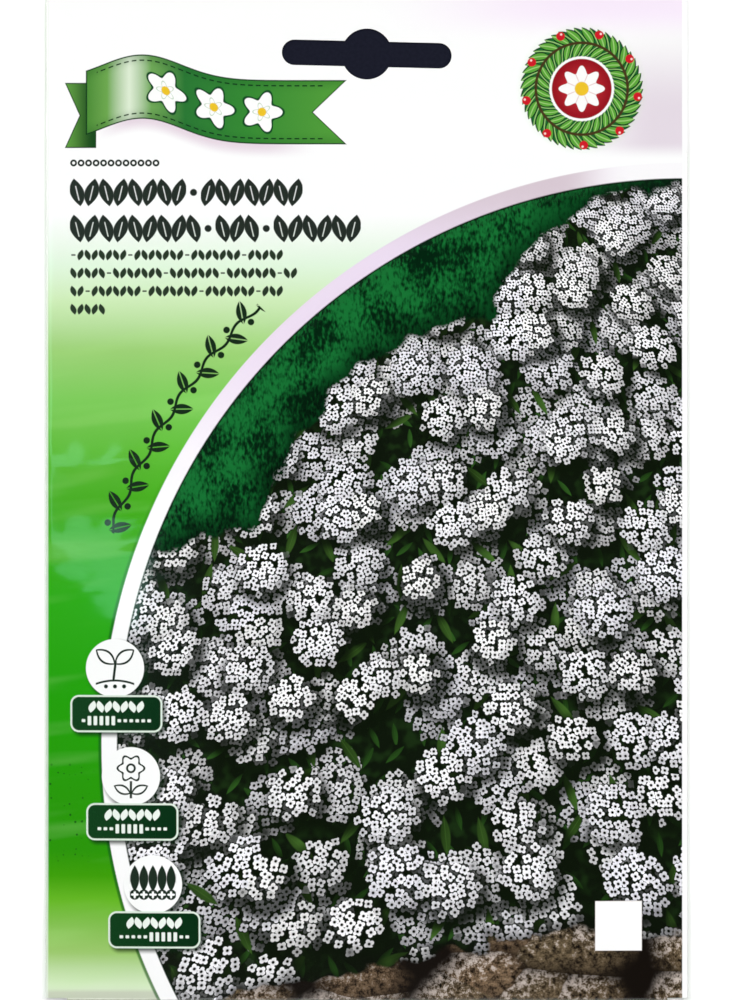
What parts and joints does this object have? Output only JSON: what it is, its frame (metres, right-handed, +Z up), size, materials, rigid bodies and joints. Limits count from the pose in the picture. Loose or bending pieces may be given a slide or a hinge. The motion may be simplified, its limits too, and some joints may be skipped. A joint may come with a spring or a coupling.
{
  "type": "seed packet",
  "caption": "Glossy paper seed packet lying on its back: folded envelope with a hang slot in its header, a sealed inner sachet with seeds, and a small blank label.",
  "frame": {"origin": "middle of the packet's outline, on the surface that it lies on", "axes": "+X to the right of the printed front, +Y along the packet towards the hang slot, +Z up out of the printed front"},
  "size_m": [0.12, 0.187, 0.0029],
  "materials": {
    "printed_paper": "glossy coated paper, printed, with white cut edges",
    "label_paper": "plain white label paper, matte",
    "glue": "dried adhesive, slightly yellow",
    "sachet_foil": "heat-sealed sachet paper with a satin barrier film",
    "seed_coat": "dry seed coat, orange brown"
  },
  "bodies": {
    "root": {"packet_sheet": "printed_paper", "blank_label": "label_paper", "side_seam_glue": "glue", "bottom_flap_glue": "glue", "header_glue": "glue", "sachet_back_web": "sachet_foil", "sachet_front_web": "sachet_foil", "seed_01": "seed_coat", "seed_02": "seed_coat", "seed_03": "seed_coat", "seed_04": "seed_coat", "seed_05": "seed_coat", "seed_06": "seed_coat", "seed_07": "seed_coat", "seed_08": "seed_coat", "seed_09": "seed_coat", "seed_10": "seed_coat", "seed_11": "seed_coat", "seed_12": "seed_coat", "seed_13": "seed_coat", "seed_14": "seed_coat", "seed_15": "seed_coat", "seed_16": "seed_coat", "seed_17": "seed_coat", "seed_18": "seed_coat", "seed_19": "seed_coat", "seed_20": "seed_coat", "seed_21": "seed_coat", "seed_22": "seed_coat", "seed_23": "seed_coat", "seed_24": "seed_coat", "seed_25": "seed_coat", "seed_26": "seed_coat", "seed_27": "seed_coat", "seed_28": "seed_coat", "seed_29": "seed_coat", "seed_30": "seed_coat", "seed_31": "seed_coat", "seed_32": "seed_coat", "seed_33": "seed_coat", "seed_34": "seed_coat", "seed_35": "seed_coat", "seed_36": "seed_coat", "seed_37": "seed_coat", "seed_38": "seed_coat", "seed_39": "seed_coat", "seed_40": "seed_coat", "seed_41": "seed_coat", "seed_42": "seed_coat", "seed_43": "seed_coat", "seed_44": "seed_coat"}
  },
  "joints": []
}
